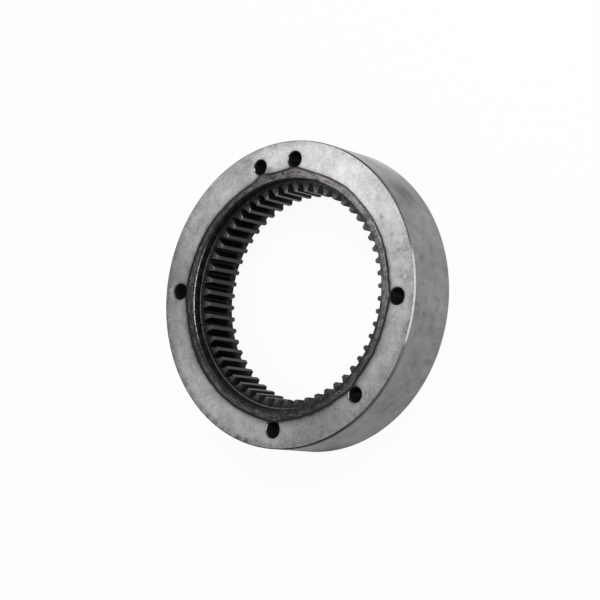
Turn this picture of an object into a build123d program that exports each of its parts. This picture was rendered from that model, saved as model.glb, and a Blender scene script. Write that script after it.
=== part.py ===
"""Internal ring gear: a steel ring with straight involute teeth cut into its bore.

Millimetres. +Z is the axis of the ring, the back face lies on z = 0, the front face looks up, and
+X runs through the first bolt hole. Angles are counter-clockwise seen from the front.
"""
from build123d import *
import math
import os

# Ring
OUTER_R = 133.5
THICKNESS = 54.0
RIM_CHAMFER = 0.5

# Teeth: full-depth involute, 20 degree pressure angle
MODULE = 3.5
TEETH = 54
PRESSURE_ANGLE = math.radians(20.0)
FIRST_TOOTH_DEG = -0.8
END_CHAMFER = 1.0
END_CHAMFER_WIDTH = 1.1
END_CHAMFER_FADES_R = 97.5
TIP_CHAMFER = 0.4
PITCH_R = MODULE * TEETH / 2
BASE_R = PITCH_R * math.cos(PRESSURE_ANGLE)
TIP_R = PITCH_R - MODULE
ROOT_R = PITCH_R + 1.25 * MODULE

# Steps in the bore, from the front face down
LEDGE_R = 108.4
LEDGE_DEPTH = 0.4
COUNTERBORE_R = 100.5
COUNTERBORE_DEPTH = 9.5
COUNTERBORE_EDGE = 0.6
FLOOR_CHAMFER = 0.6
TEETH_TOP = THICKNESS - COUNTERBORE_DEPTH

# Relief behind the teeth
RELIEF_R = 99.5
RELIEF_DEPTH = 7.5
RELIEF_EDGE = 1.0

# Holes through the flange
HOLE_CIRCLE_R = 117.0
BOLT_HOLE_R = 7.0
BOLT_HOLE_DEGS = (0.0, 90.0, 180.0, 270.0)
PLAIN_HOLE_R = 6.5
PLAIN_HOLE_DEGS = (108.5, 315.0)
HOLE_CHAMFER = 0.7

# The ledge's edge runs out to each hole in a shallow point
RUNOUT_HALF_DEG = 8.5
RUNOUT_TOP_R = 110.4
RUNOUT_TOP_HALF_DEG = 1.3


def polar(radius, angle):
    """The point at a radius and an angle in radians."""
    return Vector(radius * math.cos(angle), radius * math.sin(angle))


def involute(angle):
    """The involute function of a pressure angle."""
    return math.tan(angle) - angle


def space_half_angle(radius):
    """Half the angle that a tooth space spans at a radius."""
    at_radius = involute(math.acos(BASE_R / radius))
    return math.pi / (2 * TEETH) + involute(PRESSURE_ANGLE) - at_radius


def flank_points(inner_r, outer_r, count=6):
    """Points up one involute flank of a tooth space, on its positive side."""
    radii = [inner_r + (outer_r - inner_r) * i / (count - 1) for i in range(count)]
    return [polar(r, space_half_angle(r)) for r in radii]


def root_radius():
    """The radius of the full-round root, which touches both flanks and the root circle.

    A curve parallel to an involute is the same involute turned about the base circle, by the
    distance over the base radius. So the root's centre, which lies on the middle of the space,
    is where half the space's angle equals the root's radius over the base radius.
    """
    radius = 1.0
    for _ in range(60):
        radius = BASE_R * space_half_angle(ROOT_R - radius)
    return radius


def mirrored(point):
    """A point on the other side of the tooth space."""
    return Vector(point.X, -point.Y)


def tooth_space():
    """The cutter for one tooth space, centred on +X: two involute flanks and a round root."""
    radius = root_radius()
    tangent_length = math.sqrt((ROOT_R - radius) ** 2 - BASE_R**2) + radius
    flank = flank_points(TIP_R - 0.7, math.hypot(BASE_R, tangent_length))
    other = [mirrored(p) for p in flank]
    edges = [
        Spline(*flank),
        ThreePointArc(flank[-1], Vector(ROOT_R, 0), other[-1]),
        Spline(*reversed(other)),
        Line(other[0], flank[0]),
    ]
    past = 2.0
    height = TEETH_TOP - RELIEF_DEPTH + 2 * past
    return extrude(Pos(0, 0, RELIEF_DEPTH - past) * make_face(edges), height)


def end_chamfer():
    """The cutter that breaks the edges at one end of a tooth space.

    It is a wedge with flat sides, its end on z = 0 and the tooth below. The break is widest at
    the tooth's tip and fades out along the flank, as a deburring wheel leaves it.
    """
    slope = END_CHAMFER_WIDTH / END_CHAMFER
    tip_y = flank_points(TIP_R, TIP_R + 1)[0].Y
    root_y = flank_points(END_CHAMFER_FADES_R, END_CHAMFER_FADES_R + 0.1)[0].Y
    taper = (tip_y + END_CHAMFER_WIDTH - root_y) / (END_CHAMFER_FADES_R - TIP_R)

    def outline(z):
        inner_r, outer_r = TIP_R - 0.7, END_CHAMFER_FADES_R + 0.3
        at_tip = tip_y + END_CHAMFER_WIDTH + slope * z
        inner, outer = [at_tip - taper * (r - TIP_R) for r in (inner_r, outer_r)]
        corners = ((inner_r, -inner), (outer_r, -outer), (outer_r, outer), (inner_r, inner))
        return Pos(0, 0, z) * make_face(Polyline(*corners, close=True).edges())

    return loft([outline(-END_CHAMFER - 0.2), outline(0.2)], ruled=True)


def section():
    """Half the section of the ring before its teeth and holes are cut, in the XZ plane."""
    top = THICKNESS
    ledge = THICKNESS - LEDGE_DEPTH
    outline = Polyline(
        (COUNTERBORE_R, TEETH_TOP + FLOOR_CHAMFER),
        (COUNTERBORE_R, ledge - COUNTERBORE_EDGE),
        (COUNTERBORE_R + COUNTERBORE_EDGE, ledge),
        (LEDGE_R, ledge),
        (LEDGE_R, top),
        (OUTER_R - RIM_CHAMFER, top),
        (OUTER_R, top - RIM_CHAMFER),
        (OUTER_R, RIM_CHAMFER),
        (OUTER_R - RIM_CHAMFER, 0),
        (RELIEF_R + RELIEF_EDGE, 0),
        (RELIEF_R, RELIEF_EDGE),
        (RELIEF_R, RELIEF_DEPTH),
        (TIP_R + TIP_CHAMFER, RELIEF_DEPTH),
        (TIP_R, RELIEF_DEPTH + TIP_CHAMFER),
        (TIP_R, TEETH_TOP - TIP_CHAMFER),
        (TIP_R + TIP_CHAMFER, TEETH_TOP),
        (COUNTERBORE_R - FLOOR_CHAMFER, TEETH_TOP),
        close=True,
    )
    return Plane.XZ * make_face(outline.edges())


def hole(radius, degrees):
    """The cutter for one through hole, with both its mouths chamfered."""
    past = 1.0
    wide = radius + HOLE_CHAMFER + past
    outline = Polyline(
        (0, -past),
        (wide, -past),
        (radius, HOLE_CHAMFER),
        (radius, THICKNESS - HOLE_CHAMFER),
        (wide, THICKNESS + past),
        (0, THICKNESS + past),
        close=True,
    )
    cutter = revolve(Plane.XZ * make_face(outline.edges()), Axis.Z)
    return Rot(0, 0, degrees) * Pos(HOLE_CIRCLE_R, 0, 0) * cutter


def runout(degrees):
    """The shallow point in which the ledge's edge reaches one hole."""
    base = math.radians(RUNOUT_HALF_DEG)
    tip = math.radians(RUNOUT_TOP_HALF_DEG)
    outline = Polyline(
        polar(LEDGE_R - 0.3, -base),
        polar(RUNOUT_TOP_R, -tip),
        polar(RUNOUT_TOP_R, tip),
        polar(LEDGE_R - 0.3, base),
        polar(LEDGE_R - 2.0, 0),
        close=True,
    )
    cutter = extrude(make_face(outline.edges()), LEDGE_DEPTH + 1.0)
    return Rot(0, 0, degrees) * Pos(0, 0, THICKNESS - LEDGE_DEPTH) * cutter


def ring_gear():
    """The whole ring."""
    ring = revolve(section(), Axis.Z)
    hole_degs = BOLT_HOLE_DEGS + PLAIN_HOLE_DEGS
    ring -= [runout(d) for d in hole_degs]
    ring -= [hole(BOLT_HOLE_R, d) for d in BOLT_HOLE_DEGS]
    ring -= [hole(PLAIN_HOLE_R, d) for d in PLAIN_HOLE_DEGS]
    step = 360.0 / TEETH
    turns = [Rot(0, 0, FIRST_TOOTH_DEG + step * (k + 0.5)) for k in range(TEETH)]
    space = tooth_space()
    ring -= [turn * space for turn in turns]
    front = Pos(0, 0, TEETH_TOP) * end_chamfer()
    back = Pos(0, 0, RELIEF_DEPTH) * mirror(end_chamfer(), Plane.XY)
    ring -= [turn * front for turn in turns]
    ring -= [turn * back for turn in turns]
    return ring


os.makedirs("parts", exist_ok=True)
gear = ring_gear()
gear = gear.solids()[0] if len(gear.solids()) == 1 else gear
export_step(gear, "parts/ring_gear.step")
print("volume cm3", round(gear.volume / 1000, 2), "faces", len(gear.faces()), "solids", len(gear.solids()))
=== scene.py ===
"""An internal ring gear lying on its back face: a ground front ring with six holes, a rough
scaled ledge, a counterbore, and oiled straight teeth in the bore.

Lengths of the ring are in millimetres and become metres in the meshes.
"""

import math

import bmesh
import bpy
import numpy as np
from mathutils import Matrix, Vector


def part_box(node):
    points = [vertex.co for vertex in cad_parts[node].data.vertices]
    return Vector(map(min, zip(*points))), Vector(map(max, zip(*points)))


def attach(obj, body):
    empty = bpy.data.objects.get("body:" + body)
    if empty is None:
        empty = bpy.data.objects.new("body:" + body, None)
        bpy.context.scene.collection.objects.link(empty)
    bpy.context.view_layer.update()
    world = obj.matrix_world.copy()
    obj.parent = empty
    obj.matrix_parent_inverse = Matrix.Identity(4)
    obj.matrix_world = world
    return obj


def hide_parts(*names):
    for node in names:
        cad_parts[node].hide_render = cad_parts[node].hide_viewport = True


MM = 0.001

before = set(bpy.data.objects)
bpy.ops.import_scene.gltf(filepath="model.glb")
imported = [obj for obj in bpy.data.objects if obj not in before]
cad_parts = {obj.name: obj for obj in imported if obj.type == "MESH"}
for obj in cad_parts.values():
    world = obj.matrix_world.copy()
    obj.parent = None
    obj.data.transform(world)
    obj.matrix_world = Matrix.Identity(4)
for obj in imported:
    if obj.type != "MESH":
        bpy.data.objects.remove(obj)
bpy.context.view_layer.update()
_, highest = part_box("ring_gear")

# Ring
OUTER_R = highest.x / MM
THICKNESS = highest.z / MM
RIM_ROUND = 0.6

# Teeth
MODULE = 3.5
TEETH = 54
PRESSURE_ANGLE = math.radians(20.0)
FIRST_TOOTH = math.radians(-0.8)
PITCH_R = MODULE * TEETH / 2
BASE_R = PITCH_R * math.cos(PRESSURE_ANGLE)
TIP_R = PITCH_R - MODULE
ROOT_R = PITCH_R + 1.25 * MODULE
HALF_PITCH = math.pi / TEETH
END_CHAMFER = 1.0
END_CHAMFER_WIDTH = 1.1
END_CHAMFER_FADES_R = 97.5
TIP_CHAMFER = 0.4
ROOT_POINTS, FLANK_POINTS, TIP_POINTS = 5, 5, 3

# Steps in the bore
LEDGE_R = 108.7
LEDGE_DEPTH = 0.4
COUNTERBORE_R = 100.5
COUNTERBORE_DEPTH = 9.5
LIP_ROUND = 0.6
FLOOR_ROUND = 0.6
TEETH_TOP = THICKNESS - COUNTERBORE_DEPTH
RELIEF_R = 99.5
RELIEF_DEPTH = 7.5
RELIEF_EDGE = 1.0

# Holes: angle, radius, and how far the ledge's edge runs out before and after the hole
HOLE_CIRCLE_R = 117.0
HOLE_CHAMFER = 0.7
HOLES = (
    (0.0, 7.0, 10.0, 8.0),
    (90.0, 7.0, 12.0, 9.0),
    (108.5, 6.5, 8.0, 7.0),
    (180.0, 7.0, 23.0, 17.0),
    (270.0, 7.0, 17.0, 11.0),
    (315.0, 6.5, 12.0, 7.0),
)
RUNOUT_R = 110.9
# Slack stretches of the ledge's edge: middle and width in degrees, and depth
SLACK = ((46.0, 10.0, 1.15), (72.0, 14.0, 1.5), (125.0, 20.0, 1.9))

MATERIALS = (
    "ground_face",
    "scaled_ledge",
    "ledge_edge",
    "lip",
    "counterbore",
    "tooth_end",
    "end_chamfer",
    "tooth_flank",
    "tooth_tip",
    "rim",
    "turned_outside",
    "turned_back",
    "dark_recess",
    "hole_mouth",
)
FINISH = {name: index for index, name in enumerate(MATERIALS)}

# Stretches of the ring that differ from the rest: middle and half-length in degrees, and amount
FACE_CALM = ((60, 60, -0.3),)
# Painted sheen: the ground face is lighter in these stretches.
FACE_PAINTED_SHEEN = ((76, 125, 0.27), (66, 50, 0.17), (230, 62, 0.10), (328, 35, 0.05))
# Painted light: the ledge is lighter in these stretches.
LEDGE_PAINTED_LIGHT = ((48, 90, 0.12), (57, 38, 0.075), (150, 40, 0.015), (238, 30, 0.03), (325, 35, 0.02))
# Painted light: the ledge beside the lip is lighter in these stretches.
INNER_PAINTED_LIGHT = ((52, 78, 0.10), (60, 25, 0.06), (118, 25, 0.045), (180, 25, 0.018))
# Painted reflection: the turned outside is lighter in these stretches.
SIDE_PAINTED_REFLECTION = ((92, 50, 0.21), (15, 50, 0.035), (278, 40, 0.04))
# Stretches where the step's black of oil and painted shade is lighter.
EDGE_LIGHTER = ((60, 45, -0.5), (120, 35, -0.45))
BESIDE_LEDGE = ((335, 50, 0.26), (275, 35, 0.3), (203, 30, 0.32), (128, 30, 0.16), (98, 20, 0.25))
RIM_DIRT = ((215, 100, 0.45), (0, 30, 0.15), (328, 35, 0.25), (246, 25, 0.2), (100, 24, 0.3))
# Painted reflection: the broken outer edges are lighter in these stretches.
RIM_PAINTED_REFLECTION = ((115, 60, 0.14), (12, 50, 0.1), (328, 30, 0.07))
# Painted shade under the front edge on the outside.
SIDE_SHADE = ((280, 78, 0.97), (58, 30, 0.45))
SIDE_COATED = ((275, 40, -0.5),)
# Painted reflection on the lower outside in the second stretch, and darker towards the bottom in the
# first.
LOW_SIDE = ((275, 18, -0.4), (78, 34, 0.3))
# Painted highlight on the lip in these stretches.
LIP_HIGHLIGHT = ((181, 28, 0.38), (190, 60, 0.04))
# Painted highlight on the round at the foot of the counterbore's wall.
FOOT_HIGHLIGHT = ((177, 36, 0.5),)
# Painted highlight on a turned line in the counterbore's floor, in this stretch.
LINE_HIGHLIGHT = ((237, 52, 0.21),)
ENDS_SPECKLED = ((100, 55, 0.06),)
# Painted light: the tooth ends are lighter in these stretches.
ENDS_PAINTED_LIGHT = ((48, 65, 0.036), (170, 40, 0.015))
# Painted highlights on the tooth ends' chamfers in this stretch.
CHAMFERS_HIGHLIGHT = ((120, 110, 0.13),)
# Painted reflections on the front of the tooth flanks in these stretches.
FLANKS_PAINTED_REFLECTION = ((258, 50, 2.5), (80, 40, 1.0))

# Places in the ring as circles: angle and radius of the centre, and the circle's own radius
HOLE_CIRCLES = [(degrees, HOLE_CIRCLE_R, radius) for degrees, radius, _, _ in HOLES]
SMUDGES = (
    (34.5, 115.8, 2.0),
    (25.5, 118.8, 1.8),
    (21.0, 121.5, 1.0),
    (104.0, 110.8, 2.6),
    (185.0, 121.5, 0.5),
    (114.4, 127.7, 0.8),
    (249.0, 133.0, 2.5),
    (254.0, 132.0, 3.5),
    (258.5, 132.0, 3.5),
)
MOTTLED = (
    (113.0, 126.0, 5.0),
    (101.0, 127.0, 5.0),
    (184.0, 121.0, 5.0),
    (152.0, 131.0, 3.0),
    (136.0, 131.0, 3.0),
    (18.0, 125.0, 7.0),
    (8.0, 124.0, 5.0),
    (318.0, 124.0, 6.0),
    (304.0, 116.0, 5.0),
)
PALE = ((327.0, 117.5, 8.0),)
RUBBED = ((179.5, 127.8, 1.6),)
DULL_PATCH = ((43.0, 133.5, 16.0),)
# Painted highlights in arcs on the mouths of some holes.
MOUTH_HIGHLIGHTS = (
    (266.3, 115.6, 2.3),
    (312.5, 112.8, 2.1),
    (93.4, 118.0, 1.0),
    (111.8, 117.5, 1.0),
    (87.2, 120.5, 0.7),
)


# ---------------------------------------------------------------- form


def involute(angle):
    """The involute function: the tangent of an angle less the angle."""
    return np.tan(angle) - angle


def space_half_angle(radius):
    """Half a tooth space's angle: a quarter pitch, plus the involute of the pressure angle, less
    the involute of the angle whose cosine is the base radius over this radius."""
    quarter = math.pi / (2 * TEETH)
    return quarter + involute(PRESSURE_ANGLE) - involute(np.arccos(BASE_R / radius))


def half_space_outline():
    """Angles and radii from the middle of a root to the middle of the next tooth's tip.

    The root is one round of radius p whose centre lies where half the space's angle is p over
    the base radius. The flank is an involute, and the tip land is an arc at the tip radius. The
    third array is 0 on the root and flank and rises to 1 across the tip land.
    """
    round_r = 1.0
    for _ in range(60):
        round_r = BASE_R * space_half_angle(ROOT_R - round_r)
    centre = ROOT_R - round_r
    flank_end_r = math.hypot(BASE_R, math.sqrt(centre**2 - BASE_R**2) + round_r)
    flank_end_angle = space_half_angle(flank_end_r)
    contact = math.atan2(
        flank_end_r * math.sin(flank_end_angle), flank_end_r * math.cos(flank_end_angle) - centre
    )
    turn = np.linspace(0, contact, ROOT_POINTS)
    x, y = centre + round_r * np.cos(turn), round_r * np.sin(turn)
    flank_r = np.linspace(flank_end_r, TIP_R, FLANK_POINTS + 1)[1:]
    tip_share = np.linspace(0, 1, TIP_POINTS + 1)[1:]
    tip_start = space_half_angle(TIP_R)
    angle = np.concatenate(
        [np.arctan2(y, x), space_half_angle(flank_r), tip_start + tip_share * (HALF_PITCH - tip_start)]
    )
    radius = np.concatenate([np.hypot(x, y), flank_r, np.full(TIP_POINTS, TIP_R)])
    share = np.concatenate([np.zeros(ROOT_POINTS + FLANK_POINTS), tip_share])
    return angle, radius, share


def around_bore(values, sign):
    """One half outline's values mirrored to a whole pitch, then repeated for every tooth."""
    half = values[:-1]
    return np.tile(np.concatenate([sign * values[:0:-1], half]), TEETH)


def tooth_columns(chamfer):
    """Angle and radius of every column along the outline of all teeth.

    At a tooth's end, chamfer is 1: each flank is turned back by the chamfer's width over the
    radius, which fades in a straight line from the tip to where the chamfer ends, and the tip
    is raised by the tip chamfer. Elsewhere chamfer is 0 and the outline is the plain one.
    """
    angle, radius, share = half_space_outline()
    fade = np.clip((END_CHAMFER_FADES_R - radius) / (END_CHAMFER_FADES_R - TIP_R), 0, 1)
    turned = angle + chamfer * fade * (1 - share) * END_CHAMFER_WIDTH / radius
    raised = radius + chamfer * TIP_CHAMFER * np.clip(fade * 3 - 2, 0, 1)
    middles = np.repeat(np.arange(TEETH) + 0.5, 2 * (len(angle) - 1)) * 2 * HALF_PITCH
    return around_bore(turned, -1) + middles + FIRST_TOOTH, around_bore(raised, 1)


def waves(theta, across, count, highest_turn, seed):
    """A sum of sine waves that closes on itself round the ring: each has a whole number of turns
    in the angle, a slope in the other direction and a phase, all drawn from a seeded generator."""
    draw = np.random.default_rng(seed)
    turns = draw.integers(3, highest_turn, count)
    slopes = draw.uniform(-1.6, 1.6, count)
    phases = draw.uniform(0, 2 * math.pi, count)
    total = sum(np.sin(t * theta + s * across + p) for t, s, p in zip(turns, slopes, phases))
    return total / math.sqrt(count)


def ledge_edge(theta):
    """The radius of the ledge's outer edge: a mean radius with slow waves and slack stretches,
    each a bell curve inwards, raised in a shallow point at each hole.

    A run-out adds (peak - edge) * (1 - distance / width) ** 1.6 within its width.
    """
    degrees = np.degrees(theta) % 360
    edge = LEDGE_R + 0.35 * np.cos(theta + 0.35)
    for middle, width, inwards in SLACK:
        edge = edge - inwards * np.exp(-(((degrees - middle) / width) ** 2))
    edge = edge + 0.14 * waves(theta, 0 * theta, 12, 70, 5)
    for centre, _, before, after in HOLES:
        past = (degrees - centre + 180) % 360 - 180
        away = np.abs(past) / np.where(past < 0, before, after)
        edge = edge + (RUNOUT_R - edge) * np.clip(1 - away, 0, 1) ** 1.6
    return edge


def ring_rows():
    """Every row of the ring's section as (angles, radii, heights, finish of the strip after it).

    The section is followed from the back end of the teeth, up the bore, over the ledge, the
    front face, the outside and the back, and into the relief. Rows share their columns, so a
    column is one closed line round the section.
    """
    angle, plain = tooth_columns(0)
    end_angle, end = tooth_columns(1)
    top, ledge = THICKNESS, THICKNESS - LEDGE_DEPTH
    flat = np.ones_like(angle)
    rows = []

    def row(radius, height, finish, at=angle):
        rows.append((at, radius * flat, height * flat, FINISH[finish]))

    def corner(centre_r, centre_z, size, turns, finish):
        """Rows round a corner: the radius times the cosine and sine of each turn in degrees, from
        outwards towards up, about the corner's centre."""
        for turn in np.radians(turns):
            row(centre_r + size * math.cos(turn), centre_z + size * math.sin(turn), finish)

    row(end, RELIEF_DEPTH, "end_chamfer", end_angle)
    row(plain, RELIEF_DEPTH + END_CHAMFER, "tooth_flank")
    for share in (0.25, 0.5, 0.75):
        row(plain, RELIEF_DEPTH + (TEETH_TOP - RELIEF_DEPTH) * share, "tooth_flank")
    row(plain, TEETH_TOP - END_CHAMFER, "end_chamfer")
    row(end, TEETH_TOP, "tooth_end", end_angle)
    row(ROOT_R + 0.3, TEETH_TOP, "tooth_end")
    row(COUNTERBORE_R - FLOOR_ROUND, TEETH_TOP, "counterbore")
    corner(
        COUNTERBORE_R - FLOOR_ROUND, TEETH_TOP + FLOOR_ROUND, FLOOR_ROUND, (-60, -30, 0), "counterbore"
    )
    row(COUNTERBORE_R, TEETH_TOP + 4.5, "counterbore")
    corner(COUNTERBORE_R + LIP_ROUND, ledge - LIP_ROUND, LIP_ROUND, (180, 150, 120), "lip")
    edge = ledge_edge(angle)
    inner = COUNTERBORE_R + LIP_ROUND
    for share in np.linspace(0, 1, 11)[:-1]:
        radius = inner + (edge - 0.9 - inner) * share
        rough = 0.07 * waves(angle, radius, 60, 420, 11) + 0.05 * waves(angle, radius / 3, 20, 70, 12)
        row(radius, ledge + rough * math.sin(math.pi * min(share + 0.12, 0.88)), "scaled_ledge")
    row(edge - 0.9, ledge, "ledge_edge")
    row(edge - 0.4, ledge - 0.2, "ledge_edge")
    row(edge - 0.1, ledge, "ledge_edge")
    row(edge, top - 0.08, "ledge_edge")
    row(edge + 0.2, top, "ground_face")
    for radius in (114.0, 120.0, 127.0):
        row(radius, top, "ground_face")
    row(OUTER_R - RIM_ROUND - 0.2, top, "rim")
    corner(OUTER_R - RIM_ROUND, top - RIM_ROUND, RIM_ROUND, (90, 60, 30, 0), "rim")
    row(OUTER_R, top - RIM_ROUND - 1.0, "turned_outside")
    for share in (0.25, 0.5, 0.75):
        row(OUTER_R, THICKNESS * (1 - share), "turned_outside")
    corner(OUTER_R - RIM_ROUND, RIM_ROUND, RIM_ROUND, (0, -30, -60), "rim")
    row(OUTER_R - RIM_ROUND, 0, "turned_back")
    row(117.0, 0, "turned_back")
    row(RELIEF_R + RELIEF_EDGE, 0, "turned_back")
    row(RELIEF_R, RELIEF_EDGE, "dark_recess")
    row(RELIEF_R, RELIEF_DEPTH, "dark_recess")
    return rows


def closed_grid(x, y, z):
    """Points and squares of a grid that closes on itself both ways, as a ring's surface does."""
    rows, columns = x.shape
    points = np.stack([x, y, z], axis=-1).reshape(-1, 3) * MM
    i, j = np.meshgrid(np.arange(rows), np.arange(columns), indexing="ij")
    after, beside = (i + 1) % rows, (j + 1) % columns
    squares = np.stack(
        [i * columns + j, i * columns + beside, after * columns + beside, after * columns + j], axis=-1
    )
    return points, squares.reshape(-1, 4)


def new_object(name, points, faces):
    """A mesh object at the origin, made of these points and faces."""
    mesh = bpy.data.meshes.new(name)
    mesh.from_pydata(points.tolist(), [], faces.tolist())
    piece = bpy.data.objects.new(name, mesh)
    bpy.context.scene.collection.objects.link(piece)
    return piece


def face_outwards(mesh):
    """Merges doubled points and turns every face outwards."""
    work = bmesh.new()
    work.from_mesh(mesh)
    bmesh.ops.remove_doubles(work, verts=work.verts, dist=1e-7)
    bmesh.ops.recalc_face_normals(work, faces=work.faces)
    work.to_mesh(mesh)
    work.free()


def ring():
    """The ring without its holes. Tooth flanks and tip lands share the same strips, so the
    columns whose radius is the tip radius get the tip's finish afterwards."""
    rows = ring_rows()
    angle = np.array([r[0] for r in rows])
    radius = np.array([r[1] for r in rows])
    height = np.array([r[2] for r in rows])
    points, squares = closed_grid(radius * np.cos(angle), radius * np.sin(angle), height)
    piece = new_object("ring_gear_finish", points, squares)
    finish = np.repeat([r[3] for r in rows], angle.shape[1]).reshape(angle.shape)
    plain = tooth_columns(0)[1]
    on_tip = (plain < TIP_R + 1e-6) & (np.roll(plain, -1) < TIP_R + 1e-6)
    finish[(finish == FINISH["tooth_flank"]) & on_tip] = FINISH["tooth_tip"]
    piece.data.polygons.foreach_set("material_index", finish.reshape(-1).astype(np.int32))
    face_outwards(piece.data)
    return piece


def hole_cutter(degrees, radius):
    """The shape that one hole removes: a profile turned about the hole's own axis, wider at both
    mouths. A point is the profile's radius times the cosine and sine of the turn."""
    past = 1.0
    wide = radius + HOLE_CHAMFER + past
    profile = np.array(
        [
            (0, -past),
            (wide, -past),
            (radius, HOLE_CHAMFER),
            (radius, THICKNESS - HOLE_CHAMFER),
            (wide, THICKNESS + past),
            (0, THICKNESS + past),
        ]
    )
    turn = np.linspace(0, 2 * math.pi, 72, endpoint=False)
    centre = math.radians(degrees)
    x = HOLE_CIRCLE_R * math.cos(centre) + profile[:, :1] * np.cos(turn)
    y = HOLE_CIRCLE_R * math.sin(centre) + profile[:, :1] * np.sin(turn)
    z = profile[:, 1:] + 0 * turn
    points, squares = closed_grid(x, y, z)
    return points, squares[: 5 * len(turn)]


def drill(piece):
    """Cuts the six holes. Their walls get the dark recess, and their mouths a finish of their own."""
    parts = [hole_cutter(degrees, radius) for degrees, radius, _, _ in HOLES]
    counts = np.cumsum([0] + [len(points) for points, _ in parts])
    points = np.concatenate([p for p, _ in parts])
    faces = np.concatenate([f + start for (_, f), start in zip(parts, counts)])
    cutter = new_object("drills", points, faces)
    face_outwards(cutter.data)
    for material in piece.data.materials:
        cutter.data.materials.append(material)
    middles = np.zeros(3 * len(cutter.data.polygons), np.float32)
    cutter.data.polygons.foreach_get("center", middles)
    height = middles.reshape(-1, 3)[:, 2] / MM
    on_wall = (height > HOLE_CHAMFER) & (height < THICKNESS - HOLE_CHAMFER)
    finish = np.where(on_wall, FINISH["dark_recess"], FINISH["hole_mouth"])
    cutter.data.polygons.foreach_set("material_index", finish.astype(np.int32))
    cut = piece.modifiers.new("holes", "BOOLEAN")
    cut.operation, cut.solver, cut.object = "DIFFERENCE", "EXACT", cutter
    bpy.context.view_layer.update()
    seen = piece.evaluated_get(bpy.context.evaluated_depsgraph_get())
    drilled = bpy.data.meshes.new_from_object(seen)
    piece.modifiers.clear()
    piece.data = drilled
    bpy.data.objects.remove(cutter)


def mark_ledge_edge(mesh):
    """Stores how far each point lies outside the ledge's edge, in millimetres."""
    co = np.zeros(len(mesh.vertices) * 3, np.float32)
    mesh.vertices.foreach_get("co", co)
    x, y, _ = co.reshape(-1, 3).T / MM
    past = np.hypot(x, y) - ledge_edge(np.arctan2(y, x))
    mesh.attributes.new("past_edge", "FLOAT", "POINT").data.foreach_set("value", past.astype(np.float32))


# ---------------------------------------------------------------- finishes


class Wire:
    """One value on a finish's node board. Its operators add the Math nodes that work them out."""

    def __init__(self, board, socket):
        self.board, self.socket = board, socket

    def _math(self, operation, *values):
        return self.board.node("Math", {"operation": operation}, dict(enumerate(values)))

    def __add__(self, other):
        return self._math("ADD", self, other)

    def __sub__(self, other):
        return self._math("SUBTRACT", self, other)

    def __rsub__(self, other):
        return self._math("SUBTRACT", other, self)

    def __mul__(self, other):
        return self._math("MULTIPLY", self, other)

    def __truediv__(self, other):
        return self._math("DIVIDE", self, other)

    def __pow__(self, other):
        return self._math("POWER", self, other)

    __radd__ = __add__
    __rmul__ = __mul__

    def clip(self):
        """The value held between 0 and 1."""
        return self.board.node("Clamp", {}, {0: self})

    def clip_low(self):
        """The value, held at 0.05 or more."""
        return self._math("MAXIMUM", self, 0.05)

    def ease(self, low, high):
        """0 below low and 1 above high, with a smooth rise between."""
        rise = {0: self, 1: low, 2: high}
        return self.board.node("MapRange", {"interpolation_type": "SMOOTHSTEP"}, rise)


class Board:
    """The node board of a material or a world. One method adds any node."""

    def __init__(self, owner):
        owner.use_nodes = True
        self.tree = owner.node_tree
        self.tree.nodes.clear()

    def node(self, kind, settings=None, inputs=None, output=0):
        made = self.tree.nodes.new("ShaderNode" + kind)
        for key, value in (settings or {}).items():
            setattr(made, key, value)
        for key, value in (inputs or {}).items():
            if isinstance(value, Wire):
                self.tree.links.new(value.socket, made.inputs[key])
            else:
                made.inputs[key].default_value = value
        return Wire(self, made.outputs[output] if made.outputs else None)

    def seen_directly(self):
        """1 for what the camera sees, also in a reflection or through glass, and 0 for the rest."""
        path = self.node("LightPath").socket.node.outputs
        rays = ("Is Camera Ray", "Is Glossy Ray", "Is Transmission Ray")
        camera, glossy, transmission = [Wire(self, path[name]) for name in rays]
        return (camera + glossy + transmission).clip()


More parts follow.
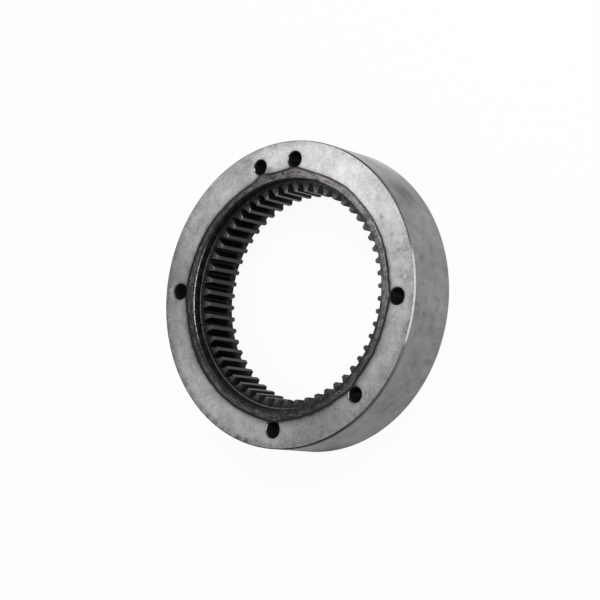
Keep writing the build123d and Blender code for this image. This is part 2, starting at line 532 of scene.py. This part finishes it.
class Finish(Board):
    """The board of one finish of the ring, with the patterns that its finishes share."""

    def __init__(self, name):
        self.material = bpy.data.materials.new(name)
        super().__init__(self.material)
        self.place = self.node("TexCoord", output="Object")
        parts = self.node("SeparateXYZ", {}, {0: self.place})
        self.x, self.y, self.z = [Wire(self, s) for s in parts.socket.node.outputs]
        self.radius = (self.x * self.x + self.y * self.y) ** 0.5

    def out(self):
        """The distance from the ring's axis, in millimetres."""
        return self.radius / MM

    def up(self):
        """The height above the back face, in millimetres."""
        return self.z / MM

    def vector(self, x, y, z):
        return self.node("CombineXYZ", {}, {0: x, 1: y, 2: z})

    def noise(self, scale, detail=3.0, roughness=0.55, vector=None, offset=(0, 0, 0)):
        """Noise between 0 and 1 about a half; scale is cells per metre on the object."""
        moved = self.node("Mapping", {}, {0: vector or self.place, 1: offset})
        values = {"Vector": moved, "Scale": scale, "Detail": detail, "Roughness": roughness}
        return self.node("TexNoise", {}, values)

    def streaks(self, along, across, detail=3.0, offset=(0, 0, 0)):
        """Noise drawn out along the ring: cells per radian, and cells per metre of radius and
        height. It reads the direction from the axis, so it closes on itself."""
        x, y = self.x / self.radius * along, self.y / self.radius * along
        drawn = self.vector(x, y, self.radius * across + self.z * across)
        return self.noise(1.0, detail, 0.6, drawn, offset)

    def round_ring(self, level, stretches):
        """A level and stretches of the ring that add to it. A stretch is the angle of its middle,
        half its length in degrees, and what it adds at its middle. It fades with the cosine of
        the angle from its middle."""
        total = level
        for middle, half_length, amount in stretches:
            turn = math.radians(middle)
            facing = (self.x * math.cos(turn) + self.y * math.sin(turn)) / self.radius
            total = total + amount * facing.ease(math.cos(math.radians(half_length)), 1.0)
        return total

    def step_oil_and_shade(self):
        """How much old oil and painted shade lie along the step from the ledge to the face, from 0 to 1.
        """
        return self.round_ring(1.0, EDGE_LIGHTER)

    def past_edge(self):
        """How far outside the ledge's edge a place is, in millimetres."""
        return self.node("Attribute", {"attribute_name": "past_edge"}, output="Fac")

    def from_circles(self, circles):
        """The distance in plan to the nearest of some circles, in millimetres and negative inside.
        A circle is the angle and radius of its centre in the ring, and its own radius."""
        plan = self.vector(self.x, self.y, 0)
        nearest = 1000.0
        for degrees, out, radius in circles:
            turn = math.radians(degrees)
            centre = (out * math.cos(turn) * MM, out * math.sin(turn) * MM, 0)
            away = self.node("VectorMath", {"operation": "DISTANCE"}, {0: plan, 1: centre}, "Value")
            nearest = self.node("Math", {"operation": "MINIMUM"}, {0: away / MM - radius, 1: nearest})
        return nearest

    def rim_highlight(self):
        """1 on the outer edge beside the first hole, where a painted highlight lies."""
        side = self.y / self.radius
        stretch = side.ease(-0.32, -0.24) * (1 - side.ease(0.20, 0.36)) * self.x.ease(0.05, 0.08)
        corner = self.out().ease(OUTER_R - 0.7, OUTER_R - 0.2) * self.up().ease(51.0, 52.2)
        return stretch * corner * (0.35 + 1.0 * self.noise(240, 3, 0.7)).clip()

    def finish(self, grey, roughness, metallic, height=None, lift=0.0, tint=(1.0, 1.0, 1.0), shine=0.5):
        """Joins the values to the shader. lift is the bump's depth in metres."""
        colours = {0: grey, 6: (0, 0, 0, 1), 7: (*tint, 1)}
        colour = self.node("Mix", {"data_type": "RGBA"}, colours, output=2)
        values = {"Base Color": colour, "Roughness": roughness, "Metallic": metallic}
        values["Specular IOR Level"] = shine
        if height is not None:
            values["Normal"] = self.node("Bump", {}, {"Strength": 1.0, "Distance": lift, "Height": height})
        self.node("OutputMaterial", {}, {"Surface": self.node("BsdfPrincipled", {}, values)})
        return self.material


def linear(grey):
    """A grey from 0 to 255 as the eye reads it, as the share of light that it sends back."""
    share = grey / 255
    return share / 12.92 if share <= 0.04045 else ((share + 0.055) / 1.055) ** 2.4


def ground_face():
    """Surface-ground steel: painted sheen in bright and dull stretches round the ring, soft clouds,
    faint straight wheel marks, dirt towards the outer edge and round the holes, a few soft smudges,
    mottled and pale patches, and a painted highlight on the outer edge beside the first hole."""
    b = Finish("ground_face")
    clouds = b.noise(30, 3, 0.55) - 0.5
    blots = b.noise(120, 4, 0.65, offset=(3, 1, 0)) - 0.5
    grain = b.noise(620, 3, 0.7, offset=(0, 2, 8)) - 0.5
    marks = b.noise(1.0, 3, 0.6, b.vector(b.x * 1500 + b.y * 100, b.y * 50, 0)) - 0.5
    stains = b.noise(420, 3, 0.7, offset=(0, 5, 2)).ease(0.56, 0.70)
    patches = b.noise(75, 4, 0.7, offset=(6, 2, 3)).ease(0.58, 0.72)
    smears = b.noise(200, 4, 0.7, offset=(2, 8, 1)).ease(0.40, 0.62)
    near_rim = b.out().ease(OUTER_R - 9.0, OUTER_R - 0.5)
    near_ledge = 1 - b.past_edge().ease(-1.0, 3.4)
    beside_ledge = (1 - b.past_edge().ease(1.0, 8.0)) * b.round_ring(0.0, BESIDE_LEDGE)
    near_hole = 1 - b.from_circles(HOLE_CIRCLES).ease(0.5, 3.5)
    smudged = 1 - b.from_circles(SMUDGES).ease(-3.0, 2.5)
    brightened = 1 - b.from_circles(RUBBED).ease(-1.0, 1.0)
    mottled = 1 - b.from_circles(MOTTLED).ease(-4.0, 3.0)
    pale = 1 - b.from_circles(PALE).ease(-6.0, 3.0)
    mottles = mottled * b.noise(330, 3, 0.7, offset=(3, 3, 3)).ease(0.46, 0.62)
    dull = 0.42 * near_rim + 0.2 * near_ledge + 0.5 * near_hole + 0.10
    dull = dull * stains + 0.07 * patches + 0.36 * mottles
    dirt = b.round_ring(0.08, RIM_DIRT) * near_rim * (0.35 + 0.65 * smears)
    dirt = dirt + near_hole * (0.15 + 0.2 * smears)
    dirt = dirt + b.step_oil_and_shade() * near_ledge * (0.5 + 0.3 * smears) + beside_ledge
    uneven = (0.9 * clouds + 1.1 * blots) * b.round_ring(1.0, FACE_CALM) + 0.8 * grain + 0.4 * marks
    # Painted sheen round the ring.
    grey = b.round_ring(0.17, FACE_PAINTED_SHEEN) * (1 + uneven)
    smudged = smudged * (0.28 + 0.35 * smears)
    grey = grey * (1 - dull) * (1 - dirt).clip_low() * (1 - smudged) * (1 + 0.6 * brightened + 0.2 * pale)
    bright = b.rim_highlight()
    grey = grey + (linear(225) - grey) * bright
    rough = 0.42 + 0.35 * clouds + 0.2 * stains
    return b.finish(grey.clip(), rough.clip(), 0.75, marks * 0.6 + blots, 0.00003)


def scaled_ledge():
    """The rough ledge: forge scale with fine streaks along the ring, blotches and bright specks,
    painted light in lighter stretches round the ring, darker beside the lip, and with a black line
    of scale, old oil and painted shade along its outer edge."""
    b = Finish("scaled_ledge")
    inside = 1 - b.out().ease(COUNTERBORE_R + 1.3, COUNTERBORE_R + 4.0)
    middle, inner = b.round_ring(0.035, LEDGE_PAINTED_LIGHT), b.round_ring(0.017, INNER_PAINTED_LIGHT)
    base = middle + (inner - middle) * inside
    drawn = b.streaks(15, 1000, 3) - 0.5
    blots = b.noise(240, 4, 0.7) - 0.5
    lighter_areas = b.noise(110, 2, 0.5, offset=(7, 2, 5)).ease(0.38, 0.58)
    specks = b.noise(650, 2, 0.6, offset=(1, 4, 0)).ease(0.60, 0.68) * lighter_areas * 1.4
    blotches = b.noise(60, 3, 0.6, offset=(4, 4, 2)) - 0.5
    # Painted shade at the foot of the step, with scale and old oil.
    foot = b.past_edge().ease(-2.5, -1.1) * b.step_oil_and_shade()
    grey = base * (1 + 4.0 * drawn + 2.9 * blots + 1.0 * blotches).clip_low()
    grey = grey + (base * 0.7 + 0.07) * specks
    grey = grey + (linear(30) - grey) * foot
    rough = 0.62 - 0.25 * specks + 0.3 * blots
    bumps = b.noise(600, 4, 0.7)
    return b.finish(grey.clip(), rough.clip(), 0.4, bumps + drawn, 0.0003, (1.0, 0.93, 0.93), 0.15)


def ledge_edge_scale_and_shade():
    """The step from the ledge to the ground face, black with scale, old oil and painted shade, and
    lighter grey in places between the second and the fourth hole."""
    b = Finish("ledge_edge")
    base = linear(80) + (linear(28) - linear(80)) * b.step_oil_and_shade()
    grey = base * (0.5 + 1.0 * b.noise(300, 3))
    return b.finish(grey.clip(), 0.6, 0.3, b.noise(700, 3), 0.0002, shine=0.15)


def lip():
    """The rounded inner edge of the ledge, with a painted highlight in streaks on the side of the fourth
    hole.
    """
    b = Finish("lip")
    brightened = b.streaks(60, 300, 3).ease(0.38, 0.60)
    grey = b.round_ring(linear(32), LIP_HIGHLIGHT) * (0.3 + 1.1 * brightened)
    return b.finish(grey.clip(), 0.42, 0.6, b.noise(600, 3), 0.0001, shine=0.1)


def counterbore():
    """The straight wall of the counterbore, dark with oil and painted shade, and the round at its
    foot, which carries a painted highlight on the far side."""
    b = Finish("counterbore")
    grey = linear(25) * (0.5 + 1.0 * b.streaks(25, 900, 3))
    above = b.up() - TEETH_TOP
    highlight_band = above.ease(0.2, 0.45) * (1 - above.ease(0.8, 1.1)) * b.streaks(40, 200, 2).ease(0.3, 0.55)
    grey = grey + b.round_ring(0.0, FOOT_HIGHLIGHT) * highlight_band
    return b.finish(grey.clip(), 0.45, 0.5, b.streaks(12, 2500, 2), 0.00006, shine=0.1)


def tooth_end():
    """The flat ends of the teeth, speckled near the second hole, lighter in stretches round the ring
    by painted light and darker towards the wall by painted shade, and the narrow shoulder beyond
    them, with a painted highlight on a turned line that runs slightly out of true, so that it
    leaves the wall's foot towards the fifth hole."""
    b = Finish("tooth_end")
    specks = b.noise(800, 2, 0.6).ease(0.58, 0.68)
    # Painted shade: the tooth ends darker towards the counterbore's wall.
    towards_tip = 1 - b.out().ease(93.0, 97.2)
    ends = b.round_ring(linear(46), ENDS_PAINTED_LIGHT) * (0.45 + 1.1 * b.noise(300, 4, 0.65))
    off_line = b.out() - 98.4 + 1.6 * b.x / b.radius
    away = b.node("Math", {"operation": "ABSOLUTE"}, {0: off_line})
    line = (1 - away.ease(0.15, 0.5)) * b.round_ring(0.0, LINE_HIGHLIGHT)
    grey = ends * (0.65 + 0.95 * towards_tip) + b.round_ring(0.05, ENDS_SPECKLED) * specks + line
    return b.finish(grey.clip(), 0.5, 0.5, b.noise(700, 3), 0.00015, shine=0.12)


def end_chamfer():
    """The broken edges at the tooth ends, with painted highlights near the tips of the front ends,
    brighter than the teeth.
    """
    b = Finish("end_chamfer")
    inner = 1 - b.out().ease(93.5, 97.2)
    grey = linear(30) + (b.round_ring(linear(72), CHAMFERS_HIGHLIGHT) - linear(30)) * inner
    front = b.up().ease(20.0, 30.0)
    grey = (linear(30) + (grey - linear(30)) * front) * (0.6 + 0.8 * b.noise(500, 3))
    return b.finish(grey.clip(), 0.4, 0.6, b.noise(800, 2), 0.0001, shine=0.15)


def tooth_flank():
    """Oiled tooth flanks and roots, nearly black, with faint marks along the tooth, painted shade darker
    towards the back of the bore, and painted reflections near the front in some stretches round the ring.
    """
    b = Finish("tooth_flank")
    drawn = b.noise(1.0, 3, 0.6, b.vector(b.x * 1500, b.y * 1500, b.z * 60))
    # Painted shade: the flanks darker towards the back of the bore.
    depth_shade = 0.3 + 0.7 * b.up().ease(8.0, 26.0)
    front = b.up().ease(TEETH_TOP - 9, TEETH_TOP)
    grey = linear(25) * (0.3 + 1.4 * drawn) * depth_shade * (1 + front * b.round_ring(0.2, FLANKS_PAINTED_REFLECTION))
    return b.finish(grey.clip(), 0.42, 0.5, drawn, 0.00005, shine=0.06)


def tooth_tip():
    """The narrow tip lands, a little brighter than the flanks, with painted light brighter towards the
    front of the bore.
    """
    b = Finish("tooth_tip")
    drawn = b.noise(1.0, 3, 0.6, b.vector(b.x * 900, b.y * 900, b.z * 90))
    # Painted light: the tip lands brighter towards the front of the bore.
    front = b.up().ease(TEETH_TOP - 6, TEETH_TOP - 1)
    grey = linear(56) * (0.55 + 0.9 * drawn) * (1 + 0.5 * front)
    return b.finish(grey.clip(), 0.42, 0.6, drawn, 0.00005, shine=0.2)


def rim():
    """The broken outer edges: painted dark, as a shiny edge reflecting dark surroundings, with painted
    reflections lighter in some stretches round the ring and a painted highlight beside the first hole.
    """
    b = Finish("rim")
    worn = b.noise(160, 4, 0.65)
    dark = b.round_ring(linear(46), RIM_PAINTED_REFLECTION) * (0.4 + 1.2 * worn)
    grey = dark + (linear(235) * (0.6 + 0.7 * worn) - dark) * b.rim_highlight()
    return b.finish(grey.clip(), 0.5, 0.3, b.noise(500, 3), 0.00005, shine=0.0)


def turned_outside():
    """The turned outside: satin grey with soft clouds, small stains and fine turning lines, painted
    reflections lighter in stretches round the ring and on the lower side near the second hole,
    darker towards the bottom near the fifth hole, a dull patch between the first two holes,
    painted shade under the front edge on the side of the fifth hole, where it is also less of a
    mirror, and a painted highlight on the edge beside the first hole."""
    b = Finish("turned_outside")
    clouds = b.noise(28, 3, 0.55, offset=(2, 2, 7)) - 0.5
    blots = b.noise(120, 4, 0.65, offset=(5, 0, 1)) - 0.5
    grain = b.noise(600, 3, 0.7, offset=(1, 1, 4)) - 0.5
    lines = b.noise(1.0, 2, 0.5, b.vector(b.x * 8, b.y * 8, b.z * 3500)) - 0.5
    stains = b.noise(70, 4, 0.65, offset=(9, 3, 4)).ease(0.58, 0.72)
    patch = (1 - b.from_circles(DULL_PATCH).ease(-24, 8)) * b.up().ease(10, 22)
    grey = b.round_ring(0.22, SIDE_PAINTED_REFLECTION) * (1 + 0.8 * clouds + 1.0 * blots + 0.5 * grain + 0.15 * lines)
    grey = grey * (1 - 0.3 * stains) * (1 - 0.55 * patch * (1 - b.up().ease(30, 48)))
    shade = b.round_ring(0.0, SIDE_SHADE) * b.up().ease(48.0, 52.8)
    low = 1 - b.up().ease(6, 34)
    grey = grey * (1 + low * b.round_ring(0.0, LOW_SIDE)) * (1 - shade)
    grey = grey + (linear(235) - grey) * b.rim_highlight()
    metallic = b.round_ring(0.65, SIDE_COATED) * (1 - 0.8 * shade)
    return b.finish(grey.clip(), (0.45 + 0.3 * blots).clip(), metallic, lines + blots, 0.00003, shine=0.0)


def turned_back():
    """The faced back, as the outside but duller."""
    b = Finish("turned_back")
    lines = b.noise(1.0, 2, 0.5, b.vector(b.radius * 3000, b.z * 3000, 0)) - 0.5
    clouds = b.noise(30, 4, 0.6) - 0.5
    blots = b.noise(140, 4, 0.65) - 0.5
    grey = linear(118) * (1 + 0.8 * clouds + 0.8 * blots + 0.2 * lines)
    return b.finish(grey.clip(), (0.5 + 0.3 * clouds).clip(), 0.7, lines, 0.00003)


def dark_recess():
    """Drilled walls and the relief behind the teeth, black with oil and painted shade, darker towards the
    back face.
    """
    b = Finish("dark_recess")
    grey = linear(44) * (0.4 + 1.2 * b.noise(300, 3)) * b.up().ease(0, 30)
    rings = b.noise(1.0, 2, 0.5, b.vector(b.x * 300, b.y * 300, b.z * 2500))
    return b.finish(grey.clip(), 0.45, 0.5, rings, 0.0001, shine=0.12)


def hole_mouth():
    """The chamfered mouths of the holes, dark with oil, with painted highlights in bright arcs on some of
    them.
    """
    b = Finish("hole_mouth")
    lighter_areas = 1 - b.from_circles(MOUTH_HIGHLIGHTS).ease(-1.0, 1.4)
    grey = linear(46) * (0.5 + 1.0 * b.noise(260, 4, 0.7))
    grey = grey + (linear(175) - grey) * lighter_areas
    return b.finish(grey.clip(), 0.35, 0.7, b.noise(600, 3), 0.0001, shine=0.2)


# ---------------------------------------------------------------- setting


def stage_floor():
    """A white floor that keeps the ring's soft shadow: most of what is seen of it is plain white
    light, and the rest is the lit surface."""
    far = 6.0
    points = np.array([(-far, -far, 0), (far, -far, 0), (far, far, 0), (-far, far, 0)])
    floor = new_object("floor", points, np.array([(0, 1, 2, 3)]))
    white = bpy.data.materials.new("floor_white")
    b = Board(white)
    lit = b.node("BsdfDiffuse", {}, {0: (0.9, 0.9, 0.9, 1)})
    glow = b.node("Emission", {}, {0: (1, 1, 1, 1), 1: 1.0})
    shade = b.node("MixShader", {}, {0: b.seen_directly() * 0.94, 1: lit, 2: glow})
    b.node("OutputMaterial", {}, {"Surface": shade})
    floor.data.materials.append(white)


def white_world():
    """White to the camera, reflections and glass, and a softer even light on everything else."""
    world = bpy.data.worlds.new("studio")
    bpy.context.scene.world = world
    b = Board(world)
    even = b.node("Background", {}, {0: (1, 1, 1, 1), 1: 0.5})
    plain = b.node("Background", {}, {0: (1, 1, 1, 1), 1: 1.0})
    shade = b.node("MixShader", {}, {0: b.seen_directly(), 1: even, 2: plain})
    b.node("OutputWorld", {}, {"Surface": shade})


def towards(azimuth, elevation):
    """The direction at an azimuth and an elevation in radians: cos e cos a, cos e sin a, sin e."""
    flat = math.cos(elevation)
    return Vector((flat * math.cos(azimuth), flat * math.sin(azimuth), math.sin(elevation)))


def softbox(name, azimuth, elevation, distance, width, height, power, target=(0, 0, 0.03)):
    """A rectangular lamp aimed at the ring from an azimuth and elevation in degrees."""
    back = towards(math.radians(azimuth), math.radians(elevation))
    light = bpy.data.lights.new(name, "AREA")
    light.shape, light.size, light.size_y, light.energy = "RECTANGLE", width, height, power
    lamp = bpy.data.objects.new(name, light)
    bpy.context.scene.collection.objects.link(lamp)
    lamp.location = Vector(target) + back * distance
    lamp.rotation_euler = back.to_track_quat("Z", "Y").to_euler()


def camera():
    """A long lens looking down on the ring from in front of its first hole, rolled so that the
    second hole is up."""
    azimuth, elevation, roll = [math.radians(degrees) for degrees in (-7.265, 52.714, -79.59)]
    distance, target = 1.5072, Vector((0.01808, -0.00514, THICKNESS * MM))
    back = towards(azimuth, elevation)
    right = Vector((-math.sin(azimuth), math.cos(azimuth), 0))
    up = back.cross(right)
    turned_right = math.cos(roll) * right + math.sin(roll) * up
    turned_up = back.cross(turned_right)
    view = bpy.data.cameras.new("camera")
    view.lens, view.sensor_width = 106.016, 36.0
    eye = bpy.data.objects.new("camera", view)
    bpy.context.scene.collection.objects.link(eye)
    turn = Matrix((turned_right, turned_up, back)).transposed().to_4x4()
    eye.matrix_world = Matrix.Translation(target + back * distance) @ turn
    bpy.context.scene.camera = eye


# ---------------------------------------------------------------- assembly

finishes = (
    ground_face,
    scaled_ledge,
    ledge_edge_scale_and_shade,
    lip,
    counterbore,
    tooth_end,
    end_chamfer,
    tooth_flank,
    tooth_tip,
    rim,
    turned_outside,
    turned_back,
    dark_recess,
    hole_mouth,
)
gear = ring()
for make in finishes:
    gear.data.materials.append(make())
drill(gear)
mark_ledge_edge(gear.data)
gear.data.polygons.foreach_set("use_smooth", np.ones(len(gear.data.polygons), bool))
gear.data.set_sharp_from_angle(angle=math.radians(35))
weighted = gear.modifiers.new("flat_faces", "WEIGHTED_NORMAL")
weighted.keep_sharp = True
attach(gear, "root")
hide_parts("ring_gear")

camera()
white_world()
stage_floor()
softbox("key", 55, 52, 1.7, 0.9, 0.9, 14)
softbox("fill", 215, 60, 1.9, 1.2, 1.2, 5)
bpy.context.scene.view_settings.view_transform = "Standard"
